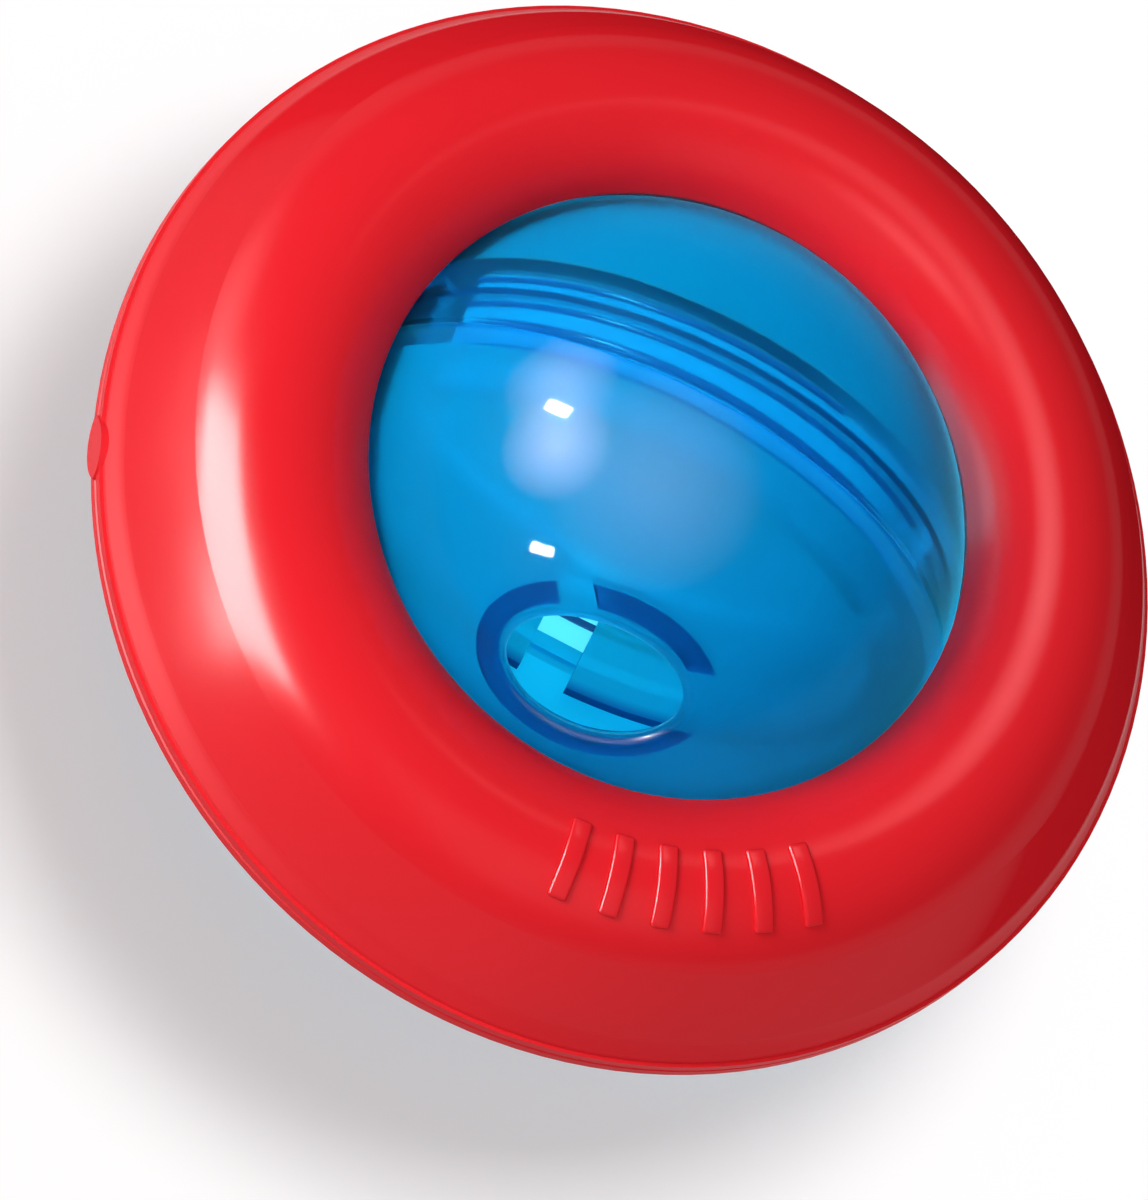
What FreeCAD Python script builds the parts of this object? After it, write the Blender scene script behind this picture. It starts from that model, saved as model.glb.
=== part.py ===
import FreeCAD, Part
import Sketcher
import math
import os

# Treat dispensing dog toy. A hollow ring of two welded half shells holds a ball captive in its
# spherical seat. The ball is two screwed halves, one of them with the oval port that treats fall from.
# Frame: millimetres, origin at the common centre of ball and ring, +Z along the ring's axis,
# +Y along the ball's screw axis towards the cap half.

SIZES = [
    ("ring_diameter", 171.0, "ring over its belt"),
    ("ring_height", 53.6, "ring over both crests"),
    ("crest_run", 9.45, "from the ball's seat out to the ring's highest line"),
    ("roll_radius", 16.5, "rounding over the crest and into the lip"),
    ("face_radius", 150.0, "bulge of the steep face between the crest's roll and the rim"),
    ("edge_radius", 1.6, "rounded edge where the steep face ends above the belt"),
    ("belt_width", 3.8, "flat belt round the rim, both shells together"),
    ("belt_step", 0.6, "how far the belt stands out of the shell beside it"),
    ("seam_chamfer", 0.35, "broken edge of each shell at the seam in the belt"),
    ("shell_wall", 2.6, "wall of the ring shells"),
    ("race_wall", 2.4, "wall of the seat that the ball turns in"),
    ("rib_count", 8, "webs inside each shell"),
    ("rib_wall", 1.8, "thickness of a web"),
    ("tongue_width", 0.8, "locating tongue in the belt's seam"),
    ("tongue_height", 1.0, "height of the tongue"),
    ("tongue_play", 0.1, "gap round the tongue in its groove"),
    ("pad_length", 10.4, "lens-shaped pad on the rim, along the rim"),
    ("pad_height", 6.4, "the pad across the rim, both shells together"),
    ("pad_stand", 0.25, "the pad's flat face beyond the belt's radius"),
    ("pad_angle", 202.7, "degrees from +X to the pad"),
    ("ball_diameter", 104.4, "ball over its sphere"),
    ("ball_clearance", 0.4, "running gap between ball and seat"),
    ("ball_wall", 2.6, "wall of the ball"),
    ("joint_offset", 2.0, "joint plane from the ball's centre, towards the cap"),
    ("joint_gap", 0.1, "gap between the joint faces of the two halves"),
    ("joint_chamfer", 0.5, "broken edge of each joint face"),
    ("neck_inset", 4.2, "from the ball's inner surface in to the outside of the screw neck"),
    ("neck_wall", 2.2, "wall of the neck"),
    ("neck_height", 14.2, "neck above the joint plane"),
    ("neck_depth", 8.0, "neck below the joint plane"),
    ("flange_wall", 2.5, "flange that ties the neck to the ball's wall"),
    ("thread_room", 1.4, "space for the thread between the neck and the cap's bore"),
    ("slot_count", 3, "slots that part the neck into tabs"),
    ("slot_width", 8.0, "width of a slot"),
    ("slot_round", 2.0, "rounded corners of the tabs"),
    ("slot_angle", 82.0, "degrees about the screw axis to the first slot"),
    ("port_length", 28.0, "oval port, the long way"),
    ("port_width", 18.0, "oval port, the short way"),
    ("port_round", 1.5, "rounded outer edge of the port"),
    ("port_angle", 39.0, "degrees from the screw axis to the port's axis"),
    ("port_tilt", 10.0, "degrees that the oval is turned about its own axis"),
    ("collar_gap", 1.2, "bare wall between the port and the collar round it, inside"),
    ("collar_width", 3.6, "width of the collar's arcs"),
    ("collar_height", 2.6, "how far the arcs stand in from the ball's wall"),
    ("collar_notch", 5.5, "narrow gap between the arcs"),
    ("collar_notch_angle", 124.0, "degrees from the oval's long axis to the narrow gap"),
    ("collar_mouth", 10.0, "wide gap between the arcs"),
    ("collar_mouth_angle", 2.0, "degrees from the oval's long axis to the wide gap"),
]
# How far a cut starts outside what it cuts, the largest share of a wall that a rounded edge takes,
# and the share of the shell's wall that the root of a pad reaches into.
CUT_ALLOWANCE = 0.3
ROUND_LIMIT = 0.6
PAD_ROOT = 0.7

X_AXIS = FreeCAD.Vector(1, 0, 0)
Y_AXIS = FreeCAD.Vector(0, 1, 0)
Z_AXIS = FreeCAD.Vector(0, 0, 1)

doc = FreeCAD.newDocument("TreatToy")
sheet = doc.addObject("Spreadsheet::Sheet", "Sizes")
for row, (alias, value, note) in enumerate(SIZES, start=1):
    sheet.set("A%d" % row, alias)
    sheet.set("B%d" % row, str(value))
    sheet.set("C%d" % row, note)
    sheet.setAlias("B%d" % row, alias)
doc.recompute()


def number(expression):
    """What an expression on the sheet's sizes comes to."""
    return float(sheet.evalExpression(expression))


class Outline:
    """A closed outline in a sketch, drawn corner by corner and tied to the sheet.

    A corner, or an arc's centre, is (x, y). Each of them is an expression, or a plain number where
    the place follows from what meets there, and then the number only says roughly where.
    """

    def __init__(self, sketch, start):
        self.sketch = sketch
        self.corners = [start]
        self.edges = []

    def line(self, x, y):
        self.corners.append((x, y))
        self.edges.append(None)

    def arc(self, x, y, centre, radius=None, turn=1, smooth=False):
        """An arc about centre to (x, y); turn is 1 anticlockwise and -1 clockwise."""
        self.corners.append((x, y))
        self.edges.append((centre, radius, turn, smooth))

    @staticmethod
    def rough(value):
        return number(value) if isinstance(value, str) else float(value)

    def near(self, corner):
        return FreeCAD.Vector(self.rough(corner[0]), self.rough(corner[1]), 0)

    def tie(self, direction, geometry, point, expression):
        """Hold a point at an expression's distance from the origin along one direction."""
        amount = number(expression)
        if abs(amount) < 1e-9:
            axis = -2 if direction == "DistanceX" else -1
            self.sketch.addConstraint(Sketcher.Constraint("PointOnObject", geometry, point, axis))
            return
        if amount > 0:
            constraint = Sketcher.Constraint(direction, -1, 1, geometry, point, amount)
        else:
            constraint = Sketcher.Constraint(direction, geometry, point, -1, 1, -amount)
            expression = "-(%s)" % expression
        index = self.sketch.addConstraint(constraint)
        self.sketch.setExpression("Constraints[%d]" % index, expression)

    def close(self, edge=None):
        """Close the outline with a line, or with the arc given, and add every constraint."""
        self.edges.append(edge)
        count = len(self.edges)
        ends = []
        for index, bend in enumerate(self.edges):
            first = self.near(self.corners[index])
            last = self.near(self.corners[(index + 1) % count])
            if bend is None:
                geometry = self.sketch.addGeometry(Part.LineSegment(first, last), False)
                ends.append((geometry, 1, 2))
                continue
            middle = self.near(bend[0])
            if bend[2] < 0:
                first, last = last, first
            start = math.atan2(first.y - middle.y, first.x - middle.x)
            stop = math.atan2(last.y - middle.y, last.x - middle.x)
            if stop <= start:
                stop += 2 * math.pi
            circle = Part.Circle(middle, Z_AXIS, (first - middle).Length)
            geometry = self.sketch.addGeometry(Part.ArcOfCircle(circle, start, stop), False)
            ends.append((geometry, 1, 2) if bend[2] > 0 else (geometry, 2, 1))
        for index, corner in enumerate(self.corners):
            before, here = ends[index - 1], ends[index]
            bend = self.edges[index - 1]
            kind = "Tangent" if bend is not None and bend[3] else "Coincident"
            self.sketch.addConstraint(
                Sketcher.Constraint(kind, before[0], before[2], here[0], here[1]))
            for direction, value in zip(("DistanceX", "DistanceY"), corner):
                if isinstance(value, str):
                    self.tie(direction, here[0], here[1], value)
        for (geometry, _, _), bend in zip(ends, self.edges):
            if bend is None:
                continue
            for direction, value in zip(("DistanceX", "DistanceY"), bend[0]):
                if isinstance(value, str):
                    self.tie(direction, geometry, 3, value)
            if bend[1] is not None:
                index = self.sketch.addConstraint(
                    Sketcher.Constraint("Radius", geometry, number(bend[1])))
                self.sketch.setExpression("Constraints[%d]" % index, bend[1])
        return ends


def origin_feature(body, role):
    return [feature for feature in body.Origin.OriginFeatures if feature.Role == role][0]


def new_sketch(body, name):
    """An upright sketch on the body's own XZ plane."""
    sketch = body.newObject("Sketcher::SketchObject", name)
    sketch.AttachmentSupport = [(origin_feature(body, "XZ_Plane"), "")]
    sketch.MapMode = "FlatFace"
    return sketch


def turned_out(sketch, angle, radius):
    """Stand an upright sketch square to the direction at angle, at radius from the Z axis."""
    sketch.AttachmentOffset = FreeCAD.Placement(
        FreeCAD.Vector(0, 0, 0), FreeCAD.Rotation(Y_AXIS, number(angle) + 90))
    sketch.setExpression("AttachmentOffset.Rotation.Angle", "(%s) + 90" % angle)
    sketch.setExpression("AttachmentOffset.Base.x", "(%s) * cos((%s) * 1deg)" % (radius, angle))
    sketch.setExpression("AttachmentOffset.Base.z", "-(%s) * sin((%s) * 1deg)" % (radius, angle))


def revolved(body, name, sketch, kind="PartDesign::Revolution"):
    feature = body.newObject(kind, name)
    feature.Profile = sketch
    feature.ReferenceAxis = (sketch, ["V_Axis"])
    feature.Angle = 360.0
    return feature


def patterned(body, name, feature, count):
    """Repeat a feature evenly about the body's Z axis."""
    pattern = body.newObject("PartDesign::PolarPattern", name)
    pattern.Originals = [feature]
    pattern.Axis = (origin_feature(body, "Z_Axis"), [""])
    pattern.Angle = 360.0
    pattern.setExpression("Occurrences", count)
    body.Tip = pattern
    return pattern


# Ring shells: over the crest the section rolls about one circle, the steep face bulges from that
# circle to the small round of its lower edge, and the seat is part of a sphere about the origin

RIM = "Sizes.ring_diameter / 2"
SHOULDER = RIM + " - Sizes.belt_step"
BELT = "Sizes.belt_width / 2"
SEAT = "Sizes.ball_diameter / 2 + Sizes.ball_clearance"
CREST = SEAT + " + Sizes.crest_run"
ROLL_HEIGHT = "Sizes.ring_height / 2 - Sizes.roll_radius"
ROLL = "Sizes.roll_radius"
FACE = "Sizes.face_radius"
EDGE = "Sizes.edge_radius"
EDGE_X = SHOULDER + " - Sizes.edge_radius"


def circles_meet(first, first_radius, second, second_radius, side):
    """Where two circles meet, on the left of the way from first to second if side is 1."""
    run, rise = second[0] - first[0], second[1] - first[1]
    apart = math.hypot(run, rise)
    along = (first_radius ** 2 - second_radius ** 2 + apart ** 2) / (2 * apart)
    aside = side * math.sqrt(first_radius ** 2 - along ** 2)
    return (first[0] + (along * run - aside * rise) / apart,
            first[1] + (along * rise + aside * run) / apart)


def roll_centre():
    return number(CREST), number(ROLL_HEIGHT)


def face_centre():
    """Centre of the steep face's arc, which holds the roll and the lower edge's round in its bend."""
    return circles_meet(roll_centre(), number(FACE) - number(ROLL),
                        (number(EDGE_X), number(BELT)), number(FACE) - number(EDGE), -1)


def on_face(centre, radius):
    """Where the steep face's circle of that radius touches the circle about centre."""
    face_x, face_y = face_centre()
    run, rise = centre[0] - face_x, centre[1] - face_y
    reach = radius / math.hypot(run, rise)
    return face_x + run * reach, face_y + rise * reach


def lip_corner(seat, depth):
    """Where the seat's circle meets the roll's circle less depth."""
    return circles_meet((0.0, 0.0), seat, roll_centre(), number(ROLL) - depth, 1)


def face_foot(depth):
    """How far out the steep face's circle less depth crosses the seam."""
    face_x, face_y = face_centre()
    return face_x + math.sqrt((number(FACE) - depth) ** 2 - face_y ** 2)


def shell_outline(sketch):
    """Half section of a hollow shell: outer skin, crest, lip, seat and the cavity behind them."""
    wall = "Sizes.shell_wall"
    seat_back = SEAT + " + Sizes.race_wall"
    face = face_centre()
    roll = roll_centre()
    edge_top = on_face((number(EDGE_X), number(BELT)), number(FACE))
    roll_top = on_face(roll, number(FACE))
    lip = lip_corner(number(SEAT), 0)
    inner_top = on_face(roll, number(FACE) - number(wall))
    behind_lip = lip_corner(number(seat_back), number(wall))
    shape = Outline(sketch, (RIM + " - Sizes.seam_chamfer", "0"))
    shape.line(RIM, "Sizes.seam_chamfer")
    shape.line(RIM, BELT)
    shape.line(SHOULDER, BELT)
    shape.arc(edge_top[0], edge_top[1], (number(EDGE_X), BELT), radius=EDGE, smooth=True)
    shape.arc(roll_top[0], roll_top[1], face, radius=FACE, smooth=True)
    shape.arc(lip[0], lip[1], (CREST, ROLL_HEIGHT), radius=ROLL)
    shape.arc(number(SEAT), "0", ("0", "0"), radius=SEAT, turn=-1)
    shape.line(number(seat_back), "0")
    shape.arc(behind_lip[0], behind_lip[1], ("0", "0"), radius=seat_back)
    shape.arc(inner_top[0], inner_top[1], (CREST, ROLL_HEIGHT),
              radius="%s - %s" % (ROLL, wall), turn=-1, smooth=True)
    shape.arc(face_foot(number(wall)), "0", face, turn=-1)
    ends = shape.close()
    outer_face, inner_face = ends[4][0], ends[10][0]
    sketch.addConstraint(Sketcher.Constraint("Coincident", outer_face, 3, inner_face, 3))


def web_outline(sketch):
    """A web's outline: the shell's half section down to the middle of its walls."""
    half_wall = "Sizes.shell_wall / 2"
    back = "(%s + Sizes.race_wall / 2)" % SEAT
    depth = number(half_wall)
    roll_top = on_face(roll_centre(), number(FACE) - depth)
    corner = lip_corner(number(back), depth)
    shape = Outline(sketch, (number(back), "0"))
    shape.line(face_foot(depth), "0")
    shape.arc(roll_top[0], roll_top[1], face_centre(), radius="%s - %s" % (FACE, half_wall), smooth=True)
    shape.arc(corner[0], corner[1], (CREST, ROLL_HEIGHT), radius="%s - %s" % (ROLL, half_wall))
    ends = shape.close((("0", "0"), back, -1, False))
    edge = sketch.addGeometry(Part.Point(FreeCAD.Vector(number(EDGE_X), number(BELT), 0)), True)
    shape.tie("DistanceX", edge, 1, EDGE_X)
    shape.tie("DistanceY", edge, 1, BELT)
    reach = "%s - %s" % (FACE, EDGE)
    index = sketch.addConstraint(
        Sketcher.Constraint("Distance", ends[1][0], 3, edge, 1, number(reach)))
    sketch.setExpression("Constraints[%d]" % index, reach)


def belt_seam(body, name, kind, play, low, high):
    """A square tongue or groove round the middle of the belt's wall."""
    middle = "%s - Sizes.shell_wall / 2" % RIM
    half = "(Sizes.tongue_width / 2 + %s)" % play
    sketch = new_sketch(body, name + "_section")
    shape = Outline(sketch, ("%s - %s" % (middle, half), low))
    shape.line("%s + %s" % (middle, half), low)
    shape.line("%s + %s" % (middle, half), high)
    shape.line("%s - %s" % (middle, half), high)
    shape.close()
    return revolved(body, name, sketch, kind)


def rim_pad(body, name, side):
    """A flat lens-shaped pad on the rim, half of it on this shell."""
    rise = "(Sizes.pad_height / 2)"
    half = "(Sizes.pad_length / 2)"
    bend = "((%s ^ 2 + %s ^ 2) / (2 * %s))" % (half, rise, rise)
    sketch = new_sketch(body, name + "_lens")
    turned_out(sketch, "%s * Sizes.pad_angle" % side, "%s - %s * Sizes.shell_wall" % (RIM, PAD_ROOT))
    shape = Outline(sketch, ("-" + half, "0"))
    shape.line(half, "0")
    shape.close(((0, "%s - %s" % (rise, bend)), None, 1, False))
    pad = body.newObject("PartDesign::Pad", name)
    pad.Profile = sketch
    pad.setExpression("Length", "%s * Sizes.shell_wall + Sizes.pad_stand" % PAD_ROOT)


def webs(body, name):
    sketch = new_sketch(body, name + "_outline")
    web_outline(sketch)
    web = body.newObject("PartDesign::Pad", name)
    web.Profile = sketch
    web.Midplane = True
    web.setExpression("Length", "Sizes.rib_wall")
    patterned(body, name + "_round", web, "Sizes.rib_count")


def ring_shell(name, side):
    """One half of the ring, drawn crest up. The front half has the groove and the rear the tongue."""
    body = doc.addObject("PartDesign::Body", name)
    section = new_sketch(body, name + "_section")
    shell_outline(section)
    revolved(body, name + "_skin", section)
    webs(body, name + "_web")
    rim_pad(body, name + "_pad", side)
    if side > 0:
        belt_seam(body, name + "_groove", "PartDesign::Groove", "Sizes.tongue_play",
                  "0", "Sizes.tongue_height + Sizes.tongue_play")
    else:
        belt_seam(body, name + "_tongue", "PartDesign::Revolution", "0",
                  "-Sizes.tongue_height", "Sizes.tongue_height")
        body.Placement = FreeCAD.Placement(FreeCAD.Vector(0, 0, 0), FreeCAD.Rotation(X_AXIS, 180))
    return body


# Ball halves, drawn along their own screw axis and then laid over into the ring's plane

BALL = "Sizes.ball_diameter / 2"
BALL_INSIDE = "(Sizes.ball_diameter / 2 - Sizes.ball_wall)"
NECK = "(%s - Sizes.neck_inset)" % BALL_INSIDE
NECK_INSIDE = NECK + " - Sizes.neck_wall"
CAP_BORE = NECK + " + Sizes.thread_room"
JOINT = "Sizes.joint_offset"
NECK_TOP = "Sizes.joint_offset + Sizes.neck_height"
NECK_FOOT = "Sizes.joint_offset - Sizes.neck_depth"
FLANGE_FOOT = "Sizes.joint_offset - Sizes.flange_wall"
LAID_OVER = FreeCAD.Placement(FreeCAD.Vector(0, 0, 0), FreeCAD.Rotation(X_AXIS, -90))


def on_circle(radius, height):
    """How far out a circle about the origin stands at a height."""
    return math.sqrt(number(radius) ** 2 - number(height) ** 2)


def cap_half(name):
    body = doc.addObject("PartDesign::Body", name)
    section = new_sketch(body, name + "_section")
    face = "%s + Sizes.joint_gap" % JOINT
    edge = "%s + Sizes.joint_chamfer" % face
    brim = "sqrt((%s) ^ 2 - (%s) ^ 2) - Sizes.joint_chamfer" % (BALL, face)
    shape = Outline(section, (CAP_BORE, face))
    shape.line(brim, face)
    shape.line(on_circle(BALL, edge), edge)
    shape.arc("0", number(BALL), ("0", "0"), radius=BALL)
    shape.line("0", number(BALL_INSIDE))
    shape.arc(CAP_BORE, math.sqrt(number(BALL_INSIDE) ** 2 - number(CAP_BORE) ** 2),
              ("0", "0"), radius=BALL_INSIDE, turn=-1)
    shape.close()
    revolved(body, name + "_skin", section)
    body.Placement = LAID_OVER
    return body


def neck_slots(body, name):
    """Cut the neck into tabs with rounded corners."""
    half = "Sizes.slot_width / 2"
    mouth = "(Sizes.slot_width / 2 + Sizes.slot_round)"
    foot = "%s - %s" % (NECK_FOOT, CUT_ALLOWANCE)
    bend = "%s - Sizes.slot_round" % NECK_TOP
    above = "%s + %s" % (NECK_TOP, CUT_ALLOWANCE)
    sketch = new_sketch(body, name + "_outline")
    turned_out(sketch, "Sizes.slot_angle", "%s + %s" % (NECK, CUT_ALLOWANCE))
    shape = Outline(sketch, ("-" + half, foot))
    shape.line(half, foot)
    shape.line(half, bend)
    shape.arc(mouth, NECK_TOP, (mouth, number(bend)), turn=-1)
    shape.line(mouth, above)
    shape.line("-" + mouth, above)
    shape.line("-" + mouth, NECK_TOP)
    shape.arc("-" + half, bend, ("-" + mouth, number(bend)), turn=-1)
    shape.close()
    slot = body.newObject("PartDesign::Pocket", name)
    slot.Profile = sketch
    slot.setExpression("Length", "Sizes.neck_wall + 2 * %s + (%s) ^ 2 / (%s)" % (
        CUT_ALLOWANCE, mouth, NECK_INSIDE))
    patterned(body, name + "_round", slot, "Sizes.slot_count")


def port_skin(name):
    """The port half without its port: wall, joint flange and slotted neck."""
    body = doc.addObject("PartDesign::Body", name)
    section = new_sketch(body, name + "_section")
    edge = "%s - Sizes.joint_chamfer" % JOINT
    brim = "sqrt((%s) ^ 2 - %s ^ 2) - Sizes.joint_chamfer" % (BALL, JOINT)
    shape = Outline(section, ("0", -number(BALL)))
    shape.arc(on_circle(BALL, edge), edge, ("0", "0"), radius=BALL)
    shape.line(brim, JOINT)
    shape.line(NECK, JOINT)
    shape.line(NECK, NECK_TOP)
    shape.line(NECK_INSIDE, NECK_TOP)
    shape.line(NECK_INSIDE, NECK_FOOT)
    shape.line(NECK, NECK_FOOT)
    shape.line(NECK, FLANGE_FOOT)
    shape.line(on_circle(BALL_INSIDE, FLANGE_FOOT), FLANGE_FOOT)
    shape.arc("0", -number(BALL_INSIDE), ("0", "0"), radius=BALL_INSIDE, turn=-1)
    shape.close()
    revolved(body, name + "_wall", section)
    neck_slots(body, name + "_slot")
    return body


def part_object(kind, name, **links):
    thing = doc.addObject(kind, name)
    for key, value in links.items():
        setattr(thing, key, value)
    return thing


def oval_prism(name, grow):
    """An oval bar from the ball's centre outward, the port's size grown all round."""
    oval = part_object("Part::Ellipse", name + "_oval")
    oval.setExpression("MajorRadius", "Sizes.port_length / 2 + %s" % grow)
    oval.setExpression("MinorRadius", "Sizes.port_width / 2 + %s" % grow)
    prism = part_object("Part::Extrusion", name, Base=oval, DirMode="Custom", Dir=Z_AXIS, Solid=True)
    prism.setExpression("LengthFwd", "Sizes.ball_diameter")
    return prism


def notch_bar(name, width, angle):
    """A bar from the port's axis outward at an angle, which parts the collar."""
    bar = part_object("Part::Box", name)
    bar.setExpression("Length", "Sizes.port_length")
    bar.setExpression("Width", width)
    bar.setExpression("Height", "Sizes.ball_diameter")
    bar.Placement = FreeCAD.Placement(
        FreeCAD.Vector(0, 0, 0), FreeCAD.Rotation(Z_AXIS, number(angle)))
    bar.setExpression("Placement.Rotation.Angle", angle)
    bar.setExpression("Placement.Base.x", "%s / 2 * sin(%s * 1deg)" % (width, angle))
    bar.setExpression("Placement.Base.y", "-%s / 2 * cos(%s * 1deg)" % (width, angle))
    return bar


def at_port(thing):
    """Turn something drawn along +Z onto the port's axis, with the oval's own tilt."""
    tilt = FreeCAD.Rotation(Z_AXIS, number("Sizes.port_tilt"))
    lean = FreeCAD.Rotation(X_AXIS, 180 - number("Sizes.port_angle"))
    thing.Placement = FreeCAD.Placement(FreeCAD.Vector(0, 0, 0), lean * tilt)
    return thing


def collar(name):
    """Raised arcs on the inside of the wall, round the port."""
    grow = "Sizes.collar_gap"
    outside = oval_prism(name + "_outside", grow + " + Sizes.collar_width")
    inside = oval_prism(name + "_inside", grow)
    band = part_object("Part::Cut", name + "_band", Base=outside, Tool=inside)
    notch = notch_bar(name + "_notch", "Sizes.collar_notch", "Sizes.collar_notch_angle")
    mouth = notch_bar(name + "_mouth", "Sizes.collar_mouth", "Sizes.collar_mouth_angle")
    gaps = part_object("Part::MultiFuse", name + "_gaps", Shapes=[notch, mouth])
    arcs = part_object("Part::Cut", name + "_arcs", Base=band, Tool=gaps)
    root = part_object("Part::Sphere", name + "_root")
    root.setExpression("Radius", "Sizes.ball_diameter / 2 - Sizes.ball_wall / 2")
    crown = part_object("Part::Sphere", name + "_crown")
    crown.setExpression("Radius", "Sizes.ball_diameter / 2 - Sizes.ball_wall - Sizes.collar_height")
    layer = part_object("Part::Cut", name + "_layer", Base=root, Tool=crown)
    return at_port(part_object("Part::Common", name, Base=arcs, Tool=layer))


def round_port(name, base):
    """Round the port's outer edge: the edge all of whose points lie on the ball's sphere."""
    doc.recompute()
    radius = number(BALL)
    lean = math.radians(number("Sizes.port_angle"))
    outward = FreeCAD.Vector(0, -math.sin(lean), -math.cos(lean))
    rounding = min(number("Sizes.port_round"), ROUND_LIMIT * number("Sizes.ball_wall"))
    picked = []
    for index, edge in enumerate(base.Shape.Edges, start=1):
        if edge.Degenerated:
            continue
        points = edge.discretize(9)
        if all(abs(point.Length - radius) < 0.01 and point.dot(outward) > 0 for point in points):
            picked.append((index, rounding, rounding))
    fillet = part_object("Part::Fillet", name, Base=base)
    fillet.Edges = picked
    return fillet


def port_half(name):
    skin = port_skin(name + "_skin")
    walls = part_object("Part::Fuse", name + "_walls", Base=skin, Tool=collar(name + "_collar"))
    hole = at_port(oval_prism(name + "_hole", "0"))
    opened = part_object("Part::Cut", name + "_opened", Base=walls, Tool=hole)
    half = round_port(name, opened)
    half.Placement = LAID_OVER
    return half


PARTS = [
    ring_shell("ring_front_shell", 1),
    ring_shell("ring_rear_shell", -1),
    port_half("orb_port_half"),
    cap_half("orb_cap_half"),
]
doc.recompute()

for thing in doc.Objects:
    if any(word in thing.State for word in ("Invalid", "Error")):
        raise RuntimeError("%s did not rebuild: %s" % (thing.Name, thing.State))

os.makedirs("parts", exist_ok=True)
for part in PARTS:
    part.Label = part.Name
    shape = part.Shape
    if shape.isNull() or not shape.isValid() or len(shape.Solids) != 1:
        raise RuntimeError("%s has no sound solid" % part.Label)
    shape.exportStep("parts/%s.step" % part.Label)
    print("%-18s %9.1f mm3  %s" % (part.Label, shape.Volume, shape.BoundBox))
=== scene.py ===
import math
from typing import NamedTuple

import bpy
from bpy.props import FloatProperty, FloatVectorProperty, IntProperty, PointerProperty
from mathutils import Matrix, Vector


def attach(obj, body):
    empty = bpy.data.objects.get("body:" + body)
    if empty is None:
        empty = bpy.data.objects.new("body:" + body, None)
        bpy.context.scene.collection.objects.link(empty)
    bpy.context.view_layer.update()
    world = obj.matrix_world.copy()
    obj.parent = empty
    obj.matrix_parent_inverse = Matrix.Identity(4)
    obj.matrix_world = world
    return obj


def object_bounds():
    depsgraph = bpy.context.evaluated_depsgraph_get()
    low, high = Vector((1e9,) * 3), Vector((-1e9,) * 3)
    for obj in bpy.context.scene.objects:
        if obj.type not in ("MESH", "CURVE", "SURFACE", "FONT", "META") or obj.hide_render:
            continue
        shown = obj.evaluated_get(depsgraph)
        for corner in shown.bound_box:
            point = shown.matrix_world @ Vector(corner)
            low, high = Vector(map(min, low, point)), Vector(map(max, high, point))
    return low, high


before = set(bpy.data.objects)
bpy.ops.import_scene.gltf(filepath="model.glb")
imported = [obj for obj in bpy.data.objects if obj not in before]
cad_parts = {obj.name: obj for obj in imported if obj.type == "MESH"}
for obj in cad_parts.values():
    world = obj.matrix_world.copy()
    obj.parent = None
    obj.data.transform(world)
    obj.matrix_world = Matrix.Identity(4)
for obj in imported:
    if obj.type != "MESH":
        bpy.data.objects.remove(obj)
CAD_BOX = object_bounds()

bl_info = {
    "name": "Treat Dispensing Ring Toy",
    "version": (1, 0, 0),
    "blender": (4, 5, 0),
    "location": "3D View > Sidebar > Treat Toy",
    "description": "Finishes and lights the ring and the screwed ball of a treat dispensing toy",
    "category": "Object",
}

# Lengths are in metres throughout.

# The camera's own axes in the toy's frame. The ring lies flat, and the picture is turned about the
# line of sight so that the ball's screw axis runs from lower left to upper right.
LOOK_RIGHT = Vector((0.848, 0.399, 0.350)).normalized()
LOOK_BACK = Vector((-0.155, -0.445, 0.882)).normalized()
LOOK_UP = LOOK_BACK.cross(LOOK_RIGHT).normalized()
# The image in pixels, the pixel at which the ball's centre stands, and a pixel's side there.
IMAGE_WIDTH = 1148
IMAGE_HEIGHT = 1200
BALL_COLUMN = 619
BALL_ROW = 536
PIXEL = 0.0001527
# A long lens far away, and its sensor's side in millimetres.
CAMERA_DISTANCE = 4.0
SENSOR = 36

# Where the finishes change, each from one measure to another. From the ring's axis: the end of the
# lip that the ball rubs, at the foot of the crest, and the start of the rim that the toy rolls on.
LIP_END = (0.0490, 0.0580)
RIM_START = (0.0826, 0.0840)
# From the ball's centre: the start of its wall, outside the collar, and of its outer face.
WALL_START = (0.0488, 0.0496)
OUTER_FACE_START = (0.0499, 0.0506)
# From the screw axis: the cap's bore, outside the neck.
BORE_START = (0.0460, 0.0463)
# Along the screw axis: over the port's collar, over the joint plane, and the neck's top edge,
# which is painted pale to lighten the shade there.
COLLAR_END = (-0.006, -0.004)
CAP_START = (0.0019, 0.0021)
NECK_EDGE_START = (0.0150, 0.0154)
NECK_EDGE_END = (0.01625, 0.01635)
# The edge of the painted pool of light on the floor under the ball.
PAINTED_POOL_EDGE = (0.02, 0.06)

# The axes that a distance counts: all three, or the two across the ring's or the screw's axis.
ALL_AXES = (1, 1, 1)
ACROSS_RING_AXIS = (1, 1, 0)
ACROSS_SCREW_AXIS = (1, 0, 1)

# Faces are shaded smooth over edges below this angle, and points nearer than this are made one.
SMOOTH_BELOW = math.radians(35)
WELD = 1e-7
# How far a ridge's root and a grip bar's foot reach into the wall that they stand on.
RIDGE_SUNK = 0.00015
BAR_SUNK = 0.0006
# The rounding of a ridge's tip, as a share of its depth, and its steps in one turn.
TIP_ROUNDING = 0.55
STEPS_PER_TURN = 72
# How far the cutters of the neck's slots reach: to both sides of the neck's outside, and from
# where to where along the screw axis, counted from the joint plane.
SLOT_REACH = 0.004
SLOT_FROM = -0.001
SLOT_TO = 0.02
# A grip bar starts just over the crest, ends down the outer face and is rounded along its edges.
BAR_FROM = math.radians(101)
BAR_TO = math.radians(56)
BAR_STEPS = 16
BAR_ROUNDING = 0.00055

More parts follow.
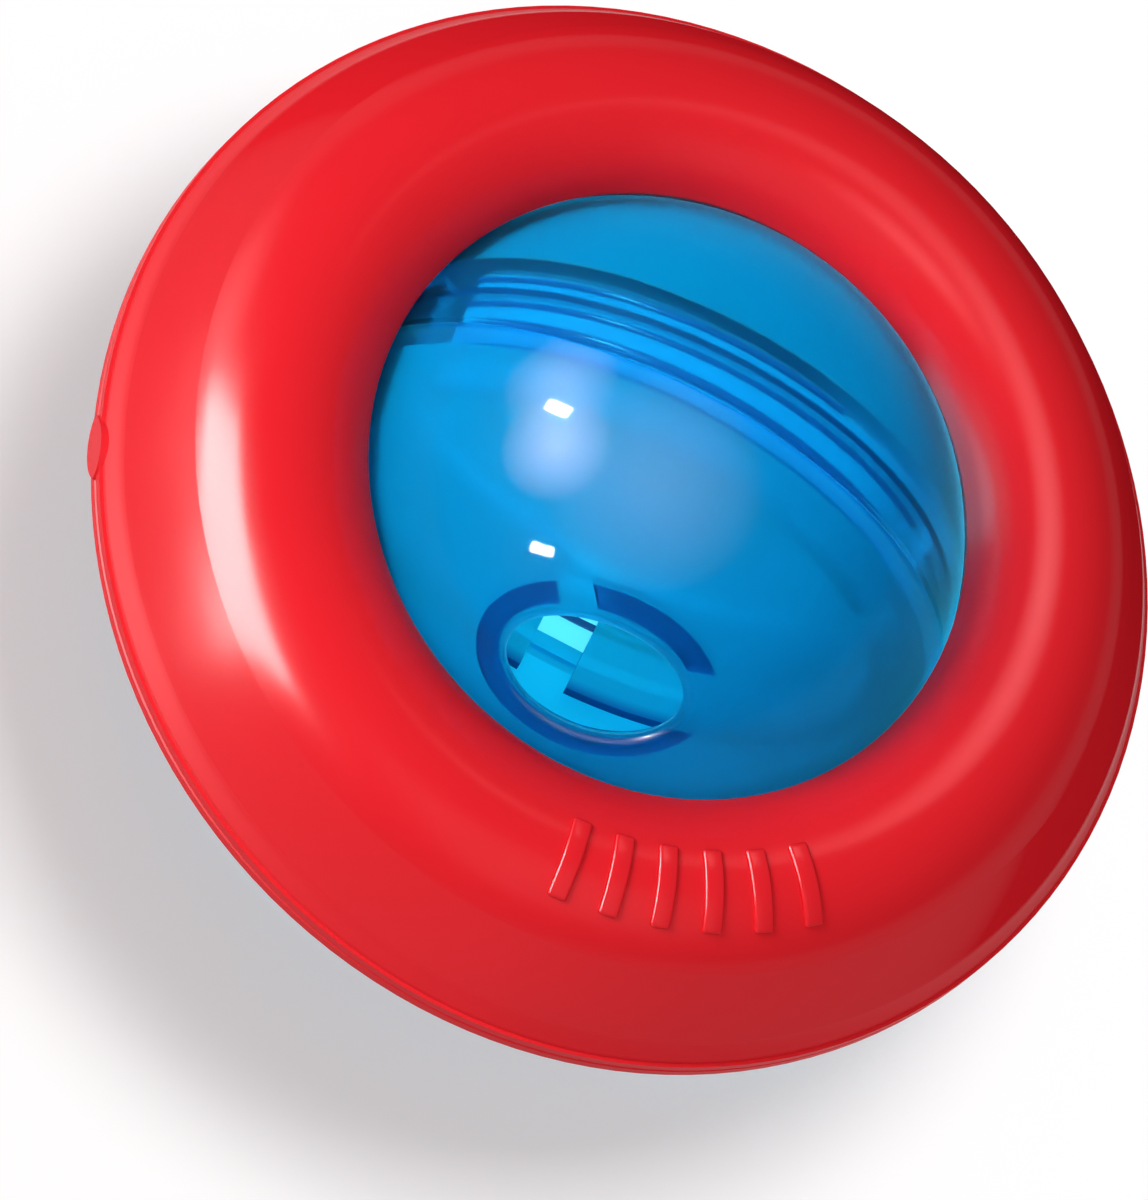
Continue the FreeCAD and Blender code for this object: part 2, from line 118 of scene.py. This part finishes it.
FLOOR_SIZE = 6
FLOOR_GAP = 0.0002


def linear(hex_colour):
    """An sRGB hex value as linear red, green and blue."""
    channels = [int(hex_colour[at:at + 2], 16) / 255 for at in (1, 3, 5)]
    return [c / 12.92 if c <= 0.04045 else ((c + 0.055) / 1.055) ** 2.4 for c in channels]


def colour_property(name, description, hex_colour):
    return FloatVectorProperty(name=name, description=description, subtype="COLOR", size=3,
                               min=0.0, max=1.0, default=linear(hex_colour))


def length_property(name, description, default):
    return FloatProperty(name=name, description=description, default=default, min=0.0,
                         subtype="DISTANCE", unit="LENGTH", precision=5)


def angle_property(name, description, degrees):
    return FloatProperty(name=name, description=description, default=math.radians(degrees),
                         subtype="ANGLE", unit="ROTATION")


class TreatToySizes(bpy.types.PropertyGroup):
    thread_lead: length_property("Thread lead", "From one turn of the thread to the next", 0.0045)
    thread_width: length_property("Thread width", "Width of the ridge at its root", 0.0009)
    thread_depth: length_property("Thread depth", "How far a ridge stands out", 0.00062)
    thread_start: length_property("Thread start", "Joint plane to the ridge's first turn", 0.0051)
    thread_turns: FloatProperty(name="Thread turns", description="Turns of the neck's ridge",
                                default=1.8, min=0.6)
    cap_start: length_property("Cap thread start", "Joint plane to the cap's first turn", 0.0067)
    bead_rise: length_property("Bead rise", "Joint plane to the bead's middle", 0.0043)
    bead_width: length_property("Bead width", "Width of the neck's sealing bead", 0.0011)
    bead_depth: length_property("Bead depth", "How far the bead stands out", 0.0007)
    neck_radius: length_property("Neck radius", "Outside of the neck under its thread", 0.0454)
    cap_bore: length_property("Cap bore", "Inside of the cap where it takes the neck", 0.0468)
    joint_height: length_property("Joint height", "Ball's centre to the joint plane", 0.0020)
    slot_width: length_property("Slot width", "Gap between two tabs of the neck", 0.0080)
    slot_count: IntProperty(name="Slots", description="Slots in the neck", default=3, min=0)
    slot_angle: angle_property("First slot", "Direction of the first slot", 82)
    roll_radius: length_property("Crest roll", "Rounding over the ring's crest", 0.0165)
    roll_run: length_property("Roll centre out", "Ring's axis to the roll's centre", 0.06205)
    roll_rise: length_property("Roll centre up", "Seam's plane to the roll's centre", 0.0103)
    bar_width: length_property("Grip bar width", "Across one grip bar", 0.0032)
    bar_height: length_property("Grip bar height", "How far a grip bar stands up", 0.0007)
    bar_count: IntProperty(name="Grip bars", description="Raised bars on the ring's crest",
                           default=6, min=1)
    bar_pitch: angle_property("Grip bar pitch", "Turn from one bar to the next", 6.8)
    bar_middle: angle_property("Grip bar middle", "Direction of the bars' middle", -64.0)


class TreatToyColours(bpy.types.PropertyGroup):
    ring: colour_property("Ring", "Red of the ring's plastic", "#D81D26")
    ring_deep: colour_property("Ring, deep", "Red where the plastic runs darker", "#CE1B24")
    orb: colour_property("Ball", "Blue of the ball's tinted plastic", "#06AAD0")
    orb_clear: colour_property("Ball, clear", "Blue of the polished outside", "#26C8EE")
    orb_bore: colour_property("Ball, bore", "Pale blue of the cap's polished bore", "#B4E8FA")
    orb_deep: colour_property("Ball, deep", "Blue where the wall is thicker", "#0860A0")
    orb_thread: colour_property("Ball, thread", "Blue of the thread's thick ridges", "#044A82")
    floor: colour_property("Floor", "Pale floor", "#C6C6C6")


def add_node(tree, kind, inputs=None, links=None, **settings):
    """Add a node with its settings, its inputs' values, and links from other nodes' outputs."""
    node = tree.nodes.new(kind)
    for key, value in settings.items():
        setattr(node, key, value)
    for key, value in (inputs or {}).items():
        node.inputs[key].default_value = value
    for key, output in (links or {}).items():
        tree.links.new(output, node.inputs[key])
    return node


def new_material(name):
    material = bpy.data.materials.new(name)
    material.use_nodes = True
    material.node_tree.nodes.clear()
    return material, material.node_tree


def surface(tree, shader):
    """Show a shader as the material's surface."""
    add_node(tree, "ShaderNodeOutputMaterial", links={"Surface": shader})


def mixed(tree, factor, values, data_type, sockets, output):
    """A mix of two values, each a constant or an output, through the sockets of its data type."""
    mix = add_node(tree, "ShaderNodeMix", links={0: factor}, data_type=data_type)
    for socket, value in zip(sockets, values):
        if isinstance(value, bpy.types.NodeSocket):
            tree.links.new(value, mix.inputs[socket])
        else:
            mix.inputs[socket].default_value = value
    return mix.outputs[output]


def between(tree, factor, first, second):
    """A number between two others, each a constant or an output, by a factor."""
    return mixed(tree, factor, (first, second), "FLOAT", (2, 3), 0)


def mixed_colour(tree, factor, first, second):
    """A colour between two others, each red, green and blue or an output, by a factor."""
    colours = [value if isinstance(value, bpy.types.NodeSocket) else (*value, 1.0)
               for value in (first, second)]
    return mixed(tree, factor, colours, "RGBA", (6, 7), 2)


def mixed_shader(tree, factor, first, second):
    """The first shader, or the second where the factor is 1."""
    return add_node(tree, "ShaderNodeMixShader", links={0: factor, 1: first, 2: second}).outputs[0]


def combined(tree, operation, first, second):
    """The larger or the smaller of two numbers: MAXIMUM or MINIMUM."""
    math_node = add_node(tree, "ShaderNodeMath", links={0: first, 1: second}, operation=operation)
    return math_node.outputs[0]


def ramp(tree, value, bounds, low=0.0, high=1.0, interpolation_type="LINEAR"):
    """A number that goes from low to high as a value crosses its bounds, and no further."""
    return add_node(tree, "ShaderNodeMapRange",
                    {"From Min": bounds[0], "From Max": bounds[1], "To Min": low, "To Max": high},
                    {"Value": value}, interpolation_type=interpolation_type).outputs["Result"]


def distance_ramp(tree, place, axes, bounds):
    """0 to 1 as the distance from the middle, along the axes given as 1, crosses its bounds."""
    flat = add_node(tree, "ShaderNodeVectorMath", {1: axes}, {0: place}, operation="MULTIPLY")
    length = add_node(tree, "ShaderNodeVectorMath", links={0: flat.outputs["Vector"]},
                      operation="LENGTH")
    return ramp(tree, length.outputs["Value"], bounds, interpolation_type="SMOOTHSTEP")


def noise(tree, place, scale, detail):
    return add_node(tree, "ShaderNodeTexNoise", {"Scale": scale, "Detail": detail},
                    {"Vector": place}).outputs["Fac"]


def bumped(tree, height, strength, distance):
    """A normal that follows a height."""
    return add_node(tree, "ShaderNodeBump", {"Strength": strength, "Distance": distance},
                    {"Height": height}).outputs["Normal"]


def fading_gloss(tree, bounds, level):
    """A level of gloss that fades out as the face turns away from the eye.

    The fine unevenness of moulded plastic scatters what would be mirrored at a flat angle.
    """
    facing = add_node(tree, "ShaderNodeLayerWeight", {"Blend": 0.5}).outputs["Facing"]
    return ramp(tree, facing, bounds, level, 0.0)


def moulded_abs(colours):
    """Injection moulded ABS in solid red: even colour, soft gloss, a faint orange peel."""
    material, tree = new_material("moulded_abs_red")
    place = add_node(tree, "ShaderNodeTexCoord").outputs["Object"]
    # Flow of the melt: faint patches about 45 mm across.
    flow = noise(tree, place, 22.0, 2.0)
    colour = mixed_colour(tree, flow, colours.ring_deep, colours.ring)
    # Handling haze: patches about 12 mm across that dull the gloss a little.
    rough = ramp(tree, noise(tree, place, 85.0, 4.0), (0.0, 1.0), 0.18, 0.24)
    # Orange peel of the polished mould, 0.9 mm from ripple to ripple.
    normal = bumped(tree, noise(tree, place, 1100.0, 1.0), 0.06, 0.0001)
    gloss = fading_gloss(tree, (0.2, 0.6), 0.15)
    # The ball rubs the lip dull, and rolling about scuffs the belt and the edges beside it.
    past_lip = distance_ramp(tree, place, ACROSS_RING_AXIS, LIP_END)
    gloss = between(tree, past_lip, 0.03, gloss)
    rim = distance_ramp(tree, place, ACROSS_RING_AXIS, RIM_START)
    plastic = add_node(tree, "ShaderNodeBsdfPrincipled", {"IOR": 1.53},
                       {"Base Color": colour, "Normal": normal,
                        "Roughness": between(tree, rim, rough, 0.5),
                        "Specular IOR Level": between(tree, rim, gloss, 0.1)})
    surface(tree, plastic.outputs[0])
    return material


def tinted_polycarbonate(colours):
    """Tinted polycarbonate: clear and glossy at the ball's outside, milky at its inner faces.

    What lies within the wall or against it shows crisp, and what lies deeper is hazy.
    """
    material, tree = new_material("tinted_polycarbonate_blue")
    place = add_node(tree, "ShaderNodeTexCoord").outputs["Object"]
    along = add_node(tree, "ShaderNodeSeparateXYZ", links={"Vector": place}).outputs["Y"]
    # The polished faces are the ball's outside and the cap's bore, which lies over the neck.
    outside = distance_ramp(tree, place, ALL_AXES, OUTER_FACE_START)
    bore = combined(tree, "MINIMUM", distance_ramp(tree, place, ACROSS_SCREW_AXIS, BORE_START),
                    ramp(tree, along, CAP_START))
    # The neck's top edge, with the cap's inside at its height, is made pale and clear too: painted
    # light that lightens the shade in the gap over the neck.
    edge = combined(tree, "MINIMUM", ramp(tree, along, NECK_EDGE_START),
                    ramp(tree, along, NECK_EDGE_END, 1.0, 0.0))
    polished = combined(tree, "MAXIMUM", outside, combined(tree, "MAXIMUM", bore, edge))
    # The port's collar stands inside the wall, well below the joint: its tint is deeper.
    wall = combined(tree, "MAXIMUM", distance_ramp(tree, place, ALL_AXES, WALL_START),
                    ramp(tree, along, COLLAR_END))
    pale = mixed_colour(tree, outside, colours.orb_bore, colours.orb_clear)
    colour = mixed_colour(tree, wall, colours.orb_deep,
                          mixed_colour(tree, polished, colours.orb, pale))
    # Sink and ripple of the moulded wall, about 10 mm from crest to crest.
    normal = bumped(tree, noise(tree, place, 100.0, 1.0), 0.04, 0.0005)
    plastic = add_node(tree, "ShaderNodeBsdfPrincipled",
                       {"IOR": 1.05, "Roughness": 0.35, "Coat Roughness": 0.03, "Coat IOR": 1.3},
                       {"Base Color": colour, "Normal": normal,
                        "Transmission Weight": between(tree, polished, 0.35, 0.98),
                        "Coat Weight": fading_gloss(tree, (0.15, 0.45), 0.25),
                        "Specular IOR Level": fading_gloss(tree, (0.15, 0.45), 0.5)})
    # Lamps shine through the wall, tinted, onto what is behind it.
    tint = add_node(tree, "ShaderNodeBsdfTransparent", {"Color": (0.6, 0.95, 1.0, 1.0)})
    path = add_node(tree, "ShaderNodeLightPath").outputs
    surface(tree, mixed_shader(tree, path["Is Shadow Ray"], plastic.outputs[0], tint.outputs[0]))
    return material


def deep_polycarbonate(colours):
    """The same plastic in the thread's thick ridges, where the tint gathers to a dark blue."""
    material, tree = new_material("tinted_polycarbonate_deep_blue")
    plastic = add_node(tree, "ShaderNodeBsdfPrincipled",
                       {"IOR": 1.45, "Roughness": 0.2,
                        "Base Color": (*colours.orb_thread, 1.0)})
    surface(tree, plastic.outputs[0])
    return material


def material_named(name, build):
    return bpy.data.materials.get(name) or build(bpy.context.scene.treat_toy_colours)


def ring_plastic():
    return material_named("moulded_abs_red", moulded_abs)


def orb_plastic():
    return material_named("tinted_polycarbonate_blue", tinted_polycarbonate)


def thread_plastic():
    return material_named("tinted_polycarbonate_deep_blue", deep_polycarbonate)


def give(node, material):
    """Give a node of the frame its finish."""
    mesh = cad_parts[node].data
    mesh.materials.clear()
    mesh.materials.append(material)


def deselect_all():
    if bpy.context.object and bpy.context.object.mode != "OBJECT":
        bpy.ops.object.mode_set(mode="OBJECT")
    bpy.ops.object.select_all(action="DESELECT")


def only(obj):
    """Make obj the one selected object and the active one."""
    deselect_all()
    obj.select_set(True)
    bpy.context.view_layer.objects.active = obj


def finished(obj, name, body, material):
    """Settle a piece's place into its mesh, shade it, give it its finish and let it ride."""
    only(obj)
    bpy.ops.object.transform_apply(location=True, rotation=True, scale=True)
    bpy.ops.object.shade_smooth_by_angle(angle=SMOOTH_BELOW)
    obj.name = name
    obj.data.name = name
    obj.data.materials.clear()
    obj.data.materials.append(material)
    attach(obj, body)


def outline(centre, depth, width, turn=0.0):
    """A rectangle of that depth along X, turned about Y, as the outline of a ridge to sweep."""
    deselect_all()
    bpy.ops.mesh.primitive_plane_add(size=1, location=centre, rotation=(0, turn, 0))
    rectangle = bpy.context.object
    rectangle.scale = (depth, width, 1)
    bpy.ops.object.transform_apply(location=True, rotation=True, scale=True)
    return rectangle


def close_swept():
    """In edit mode, weld what was swept, cap its open ends and turn its faces outward."""
    bpy.ops.mesh.select_all(action="SELECT")
    bpy.ops.mesh.remove_doubles(threshold=WELD)
    bpy.ops.mesh.select_all(action="DESELECT")
    bpy.ops.mesh.select_mode(type="EDGE")
    bpy.ops.mesh.select_non_manifold()
    bpy.ops.mesh.edge_face_add()
    bpy.ops.mesh.select_all(action="SELECT")
    bpy.ops.mesh.normals_make_consistent(inside=False)
    bpy.ops.object.mode_set(mode="OBJECT")


def coil(wall, tip, first, width, lead, turns):
    """A ridge with a rounded tip, wound about the screw axis, as one closed mesh."""
    depth = abs(tip - wall)
    ridge = outline(((wall + tip) / 2, first, 0), depth, width)
    bpy.ops.object.mode_set(mode="EDIT")
    bpy.ops.mesh.select_all(action="DESELECT")
    bpy.ops.object.mode_set(mode="OBJECT")
    for vertex in ridge.data.vertices:
        vertex.select = abs(vertex.co.x - tip) < depth / 2
    bpy.ops.object.mode_set(mode="EDIT")
    bpy.ops.mesh.select_mode(type="VERT")
    bpy.ops.mesh.bevel(offset=depth * TIP_ROUNDING, segments=3, affect="VERTICES")
    bpy.ops.object.mode_set(mode="OBJECT")
    winding = ridge.modifiers.new("winding", "SCREW")
    winding.axis = "Y"
    winding.angle = 2 * math.pi * turns
    winding.screw_offset = lead * turns
    winding.steps = winding.render_steps = int(STEPS_PER_TURN * turns)
    winding.use_smooth_shade = True
    bpy.ops.object.modifier_apply(modifier=winding.name)
    bpy.ops.object.mode_set(mode="EDIT")
    close_swept()
    return ridge


def cut_away(obj, cutter):
    """Cut one closed mesh out of another, and delete the cutter."""
    only(obj)
    cut = obj.modifiers.new("cut", "BOOLEAN")
    cut.operation = "DIFFERENCE"
    cut.solver = "EXACT"
    cut.object = cutter
    bpy.ops.object.modifier_apply(modifier=cut.name)
    bpy.data.objects.remove(cutter)


def spokes(count, first, width, inside, outside, low, high):
    """Bars that reach out from the screw axis, one for each slot of the neck, as one object."""
    bars = []
    middle = (inside + outside) / 2
    for index in range(count):
        angle = first + index * 2 * math.pi / count
        place = (math.cos(angle) * middle, (low + high) / 2, -math.sin(angle) * middle)
        deselect_all()
        bpy.ops.mesh.primitive_cube_add(size=1, location=place, rotation=(0, angle, 0))
        bar = bpy.context.object
        bar.scale = (outside - inside, high - low, width)
        bpy.ops.object.transform_apply(location=True, rotation=True, scale=True)
        bars.append(bar)
    only(bars[0])
    for bar in bars:
        bar.select_set(True)
    bpy.ops.object.join()
    return bpy.context.object


class TREATTOY_OT_ring_shells(bpy.types.Operator):
    """Give both ring shells their moulded red plastic"""
    bl_idname = "treattoy.ring_shells"
    bl_label = "Ring Shells"
    bl_options = {"REGISTER", "UNDO"}

    def execute(self, context):
        for node in ("ring_front_shell", "ring_rear_shell"):
            give(node, ring_plastic())
        return {"FINISHED"}


class TREATTOY_OT_orb_halves(bpy.types.Operator):
    """Give both ball halves their tinted plastic"""
    bl_idname = "treattoy.orb_halves"
    bl_label = "Ball Halves"
    bl_options = {"REGISTER", "UNDO"}

    def execute(self, context):
        for node in ("orb_port_half", "orb_cap_half"):
            give(node, orb_plastic())
        return {"FINISHED"}


class TREATTOY_OT_neck_thread(bpy.types.Operator):
    """Wind the screw thread round the neck's tabs, over a sealing bead"""
    bl_idname = "treattoy.neck_thread"
    bl_label = "Neck Thread"
    bl_options = {"REGISTER", "UNDO"}

    def execute(self, context):
        sizes = context.scene.treat_toy_sizes
        root = sizes.neck_radius - RIDGE_SUNK
        ridge = coil(root, sizes.neck_radius + sizes.thread_depth,
                     sizes.joint_height + sizes.thread_start, sizes.thread_width,
                     sizes.thread_lead, sizes.thread_turns)
        cut_away(ridge, spokes(sizes.slot_count, sizes.slot_angle, sizes.slot_width,
                               sizes.neck_radius - SLOT_REACH, sizes.neck_radius + SLOT_REACH,
                               sizes.joint_height + SLOT_FROM, sizes.joint_height + SLOT_TO))
        finished(ridge, "neck_thread", "orb_port", thread_plastic())
        # The bead at the neck's foot that the cap's edge closes on: one turn without a rise.
        bead = coil(root, sizes.neck_radius + sizes.bead_depth,
                    sizes.joint_height + sizes.bead_rise, sizes.bead_width, 0, 1)
        finished(bead, "neck_bead", "orb_port", thread_plastic())
        return {"FINISHED"}


class TREATTOY_OT_cap_thread(bpy.types.Operator):
    """Wind the thread inside the cap's bore, half a turn shorter than the neck's"""
    bl_idname = "treattoy.cap_thread"
    bl_label = "Cap Thread"
    bl_options = {"REGISTER", "UNDO"}

    def execute(self, context):
        sizes = context.scene.treat_toy_sizes
        ridge = coil(sizes.cap_bore + RIDGE_SUNK, sizes.cap_bore - sizes.thread_depth,
                     sizes.joint_height + sizes.cap_start, sizes.thread_width,
                     sizes.thread_lead, sizes.thread_turns - 0.5)
        finished(ridge, "cap_thread", "orb_cap", thread_plastic())
        return {"FINISHED"}


class TREATTOY_OT_grip_bars(bpy.types.Operator):
    """Raise plain rounded bars across the ring's crest, below the ball"""
    bl_idname = "treattoy.grip_bars"
    bl_label = "Grip Bars"
    bl_options = {"REGISTER", "UNDO"}

    def execute(self, context):
        sizes = context.scene.treat_toy_sizes
        # Each bar lies on the crest's roll, and is swept about the roll's centre.
        centre = Vector((sizes.roll_run, 0, sizes.roll_rise))
        outward = Vector((math.cos(BAR_FROM), 0, math.sin(BAR_FROM)))
        middle = sizes.roll_radius + (sizes.bar_height - BAR_SUNK) / 2
        bar = outline(centre + outward * middle, sizes.bar_height + BAR_SUNK, sizes.bar_width,
                      -BAR_FROM)
        bpy.ops.object.mode_set(mode="EDIT")
        bpy.ops.mesh.select_all(action="SELECT")
        bpy.ops.mesh.spin(steps=BAR_STEPS, angle=BAR_TO - BAR_FROM, center=centre, axis=(0, 1, 0))
        close_swept()
        rounding = bar.modifiers.new("rounding", "BEVEL")
        rounding.width = BAR_ROUNDING
        rounding.segments = 4
        rounding.limit_method = "ANGLE"
        rounding.angle_limit = math.radians(40)
        bpy.ops.object.modifier_apply(modifier=rounding.name)
        for index in range(sizes.bar_count):
            only(bar)
            bpy.ops.object.duplicate()
            copy = context.object
            copy.rotation_euler.z = sizes.bar_middle + sizes.bar_pitch * (
                index - (sizes.bar_count - 1) / 2)
            finished(copy, f"grip_bar_{index + 1}", "ring", ring_plastic())
        bpy.data.objects.remove(bar)
        return {"FINISHED"}


class Lamp(NamedTuple):
    """A rectangular lamp that lights one part of the scene: the ring, the orb or the floor.

    Its direction, upright and aim are given in the camera's own axes. It is either mirrored in
    gloss or lights matt surfaces. Its light fades out at half its spread, in degrees, from
    straight ahead.
    """
    name: str
    lights: str
    direction: tuple
    distance: float
    width: float
    height: float
    power: float
    spread: float = 180.0
    aim: tuple = (0.0, 0.0, 0.0)
    upright: tuple = (0.0, 1.0, 0.0)
    mirrored: bool = True


LAMPS = (
    Lamp("key", "ring", (-0.50, 0.45, 0.74), 1.2, 0.60, 0.60, 14.2, mirrored=False),
    Lamp("key_orb", "orb", (-0.42, 0.66, 0.62), 0.5, 0.10, 0.10, 0.075, 30,
         aim=(-0.015, 0.03, 0.03), mirrored=False),
    # What the milky wall scatters inward lights the faces that show through the port.
    Lamp("inside", "orb", (0.19, 0.33, 0.92), 0.01, 0.03, 0.03, 0.0028, 50, mirrored=False),
    Lamp("fill", "ring", (0.30, -0.30, 0.90), 1.6, 1.20, 1.20, 12.5, mirrored=False),
    Lamp("over_floor", "floor", (0.42, 0.38, 0.82), 1.4, 0.60, 0.60, 16.5, mirrored=False),
    # On the ring: a broad soft highlight at the left, a thin one along the crest at the right.
    Lamp("box_left", "ring", (-0.76, 0.24, 0.60), 0.5, 0.33, 0.40, 21.0,
         upright=(0.06, 0.98, -0.16)),
    Lamp("strip_right", "ring", (0.38, 0.64, 0.67), 0.2, 0.10, 0.10, 0.014, 40,
         aim=(0.066, 0.0, 0.003)),
    Lamp("strip_high", "ring", (0.27, 0.22, 0.94), 0.2, 0.10, 0.10, 0.005, 26,
         aim=(0.047, 0.041, 0.0)),
    # A faint sheen on the ring's outer face at the upper left.
    Lamp("wall_left", "ring", (-0.75, 0.62, 0.15), 0.35, 0.50, 0.50, 0.50, 56,
         aim=(-0.06, 0.03, 0.0)),
    # On the ball: two small windows, and the haze that light leaves on its front.
    Lamp("window_high", "orb", (-0.336, 0.667, 0.664), 1.2, 0.17, 0.08, 30.0,
         upright=(0.3, 1, 0)),
    Lamp("window_low", "orb", (-0.449, -0.068, 0.890), 1.2, 0.17, 0.07, 12.0,
         upright=(0.3, 1, 0)),
    Lamp("haze_high", "orb", (-0.323, 0.776, 0.542), 0.3, 0.40, 0.40, 0.8, 36),
    Lamp("haze_low", "orb", (-0.370, 0.502, 0.782), 0.3, 0.40, 0.40, 1.5, 38),
    Lamp("haze_wide", "orb", (0.178, 0.322, 0.930), 0.3, 0.80, 0.80, 6.0, 76),
)


def in_camera_axes(place):
    return LOOK_RIGHT * place[0] + LOOK_UP * place[1] + LOOK_BACK * place[2]


def standing(place, right, up, back):
    """The matrix of a lamp or camera that stands at a place and looks against its back."""
    return Matrix.Translation(place) @ Matrix((right, up, back)).transposed().to_4x4()


def hang(lamp, pieces):
    """Hang a lamp and let it shine on some pieces alone."""
    data = bpy.data.lights.new(lamp.name, "AREA")
    data.shape = "RECTANGLE"
    data.size = lamp.width
    data.size_y = lamp.height
    data.energy = lamp.power
    data.spread = math.radians(lamp.spread)
    hung = bpy.data.objects.new(lamp.name, data)
    away = in_camera_axes(lamp.direction).normalized()
    across = in_camera_axes(lamp.upright).cross(away).normalized()
    hung.matrix_world = standing(in_camera_axes(lamp.aim) + away * lamp.distance,
                                 across, away.cross(across), away)
    hung.visible_camera = False
    hung.visible_diffuse = not lamp.mirrored
    hung.visible_glossy = lamp.mirrored
    hung.visible_transmission = False
    bpy.context.scene.collection.objects.link(hung)
    lit = bpy.data.collections.new(lamp.name + "_lights")
    for piece in pieces:
        lit.objects.link(piece)
    hung.light_linking.receiver_collection = lit


def seen_white(tree):
    """1 for rays from the camera and for those that gloss and glass send on, or else 0."""
    path = add_node(tree, "ShaderNodeLightPath").outputs
    seen = combined(tree, "MAXIMUM", path["Is Camera Ray"], path["Is Glossy Ray"])
    return combined(tree, "MAXIMUM", seen, path["Is Transmission Ray"])


def floor_paper(colours):
    """Matt paper: it looks white but for the toy's soft shadow and a painted pool of light seen
    through the ball.
    """
    material, tree = new_material("matt_paper_floor")
    paper = add_node(tree, "ShaderNodeBsdfDiffuse", {"Color": (*colours.floor, 1.0)})
    path = add_node(tree, "ShaderNodeLightPath").outputs
    # A painted pool of light: to rays that come through glass the floor glows bright under the
    # ball and dim further off, so it shows through the ball alone.
    place = add_node(tree, "ShaderNodeTexCoord").outputs["Object"]
    painted_pool = between(tree, distance_ramp(tree, place, ACROSS_RING_AXIS, PAINTED_POOL_EDGE), 0.95, 0.15)
    lift = add_node(tree, "ShaderNodeEmission", links={
        "Strength": between(tree, path["Is Transmission Ray"], 0.46, painted_pool)})
    lifted = add_node(tree, "ShaderNodeAddShader", links={0: paper.outputs[0], 1: lift.outputs[0]})
    surface(tree, mixed_shader(tree, seen_white(tree), paper.outputs[0], lifted.outputs[0]))
    return material


def white_world():
    """White backdrop where it is seen, with a dark ceiling in gloss alone, and an even fill."""
    world = bpy.data.worlds.new("studio")
    world.use_nodes = True
    tree = world.node_tree
    tree.nodes.clear()
    path = add_node(tree, "ShaderNodeLightPath").outputs
    way = add_node(tree, "ShaderNodeTexCoord").outputs["Generated"]
    height = add_node(tree, "ShaderNodeSeparateXYZ", links={"Vector": way}).outputs["Z"]
    backdrop = ramp(tree, height, (0.0, 0.12), 1.0, 0.08)
    seen = between(tree, path["Is Glossy Ray"], 1.0, backdrop)
    light = add_node(tree, "ShaderNodeBackground", {"Color": (1.0, 1.0, 1.0, 1.0)},
                     {"Strength": between(tree, seen_white(tree), 0.24, seen)})
    add_node(tree, "ShaderNodeOutputWorld", links={"Surface": light.outputs[0]})
    bpy.context.scene.world = world


def place_camera():
    data = bpy.data.cameras.new("camera")
    camera = bpy.data.objects.new("camera", data)
    bpy.context.scene.collection.objects.link(camera)
    bpy.context.scene.camera = camera
    aim = (LOOK_RIGHT * (IMAGE_WIDTH / 2 - BALL_COLUMN)
           - LOOK_UP * (IMAGE_HEIGHT / 2 - BALL_ROW)) * PIXEL
    camera.matrix_world = standing(aim + LOOK_BACK * CAMERA_DISTANCE,
                                   LOOK_RIGHT, LOOK_UP, LOOK_BACK)
    data.sensor_fit = "AUTO"
    data.sensor_width = SENSOR
    data.lens = SENSOR * CAMERA_DISTANCE / (IMAGE_HEIGHT * PIXEL)
    data.clip_start = 0.05
    data.clip_end = 20


class TREATTOY_OT_stage(bpy.types.Operator):
    """Lay the floor, hang the lamps and place the camera"""
    bl_idname = "treattoy.stage"
    bl_label = "Stage"
    bl_options = {"REGISTER", "UNDO"}

    def execute(self, context):
        pieces = [piece for piece in context.scene.objects if piece.type == "MESH"]
        deselect_all()
        bpy.ops.mesh.primitive_plane_add(size=FLOOR_SIZE,
                                         location=(0, 0, CAD_BOX[0].z - FLOOR_GAP))
        floor = context.object
        bpy.ops.object.transform_apply(location=True, rotation=True, scale=True)
        floor.name = "floor"
        floor.data.materials.append(floor_paper(context.scene.treat_toy_colours))
        white_world()
        orb = [piece for piece in pieces if piece.name.startswith(("orb_", "neck_", "cap_"))]
        parts = {"orb": orb, "ring": [piece for piece in pieces if piece not in orb],
                 "floor": [floor]}
        for lamp in LAMPS:
            hang(lamp, parts[lamp.lights])
        place_camera()
        context.scene.view_settings.view_transform = "Standard"
        return {"FINISHED"}


OPERATORS = (
    TREATTOY_OT_ring_shells,
    TREATTOY_OT_orb_halves,
    TREATTOY_OT_neck_thread,
    TREATTOY_OT_cap_thread,
    TREATTOY_OT_grip_bars,
    TREATTOY_OT_stage,
)


class TREATTOY_PT_panel(bpy.types.Panel):
    bl_idname = "TREATTOY_PT_panel"
    bl_label = "Treat Toy"
    bl_space_type = "VIEW_3D"
    bl_region_type = "UI"
    bl_category = "Treat Toy"

    def draw(self, context):
        layout = self.layout
        for group in (context.scene.treat_toy_sizes, context.scene.treat_toy_colours):
            column = layout.column()
            for name in group.__annotations__:
                column.prop(group, name)
        for operator in OPERATORS:
            layout.operator(operator.bl_idname)


CLASSES = (TreatToySizes, TreatToyColours, *OPERATORS, TREATTOY_PT_panel)


def register():
    for cls in CLASSES:
        bpy.utils.register_class(cls)
    bpy.types.Scene.treat_toy_sizes = PointerProperty(type=TreatToySizes)
    bpy.types.Scene.treat_toy_colours = PointerProperty(type=TreatToyColours)


def unregister():
    del bpy.types.Scene.treat_toy_colours
    del bpy.types.Scene.treat_toy_sizes
    for cls in reversed(CLASSES):
        bpy.utils.unregister_class(cls)


def main():
    register()
    bpy.ops.treattoy.ring_shells()
    bpy.ops.treattoy.orb_halves()
    bpy.ops.treattoy.neck_thread()
    bpy.ops.treattoy.cap_thread()
    bpy.ops.treattoy.grip_bars()
    bpy.ops.treattoy.stage()


if __name__ == "__main__":
    main()
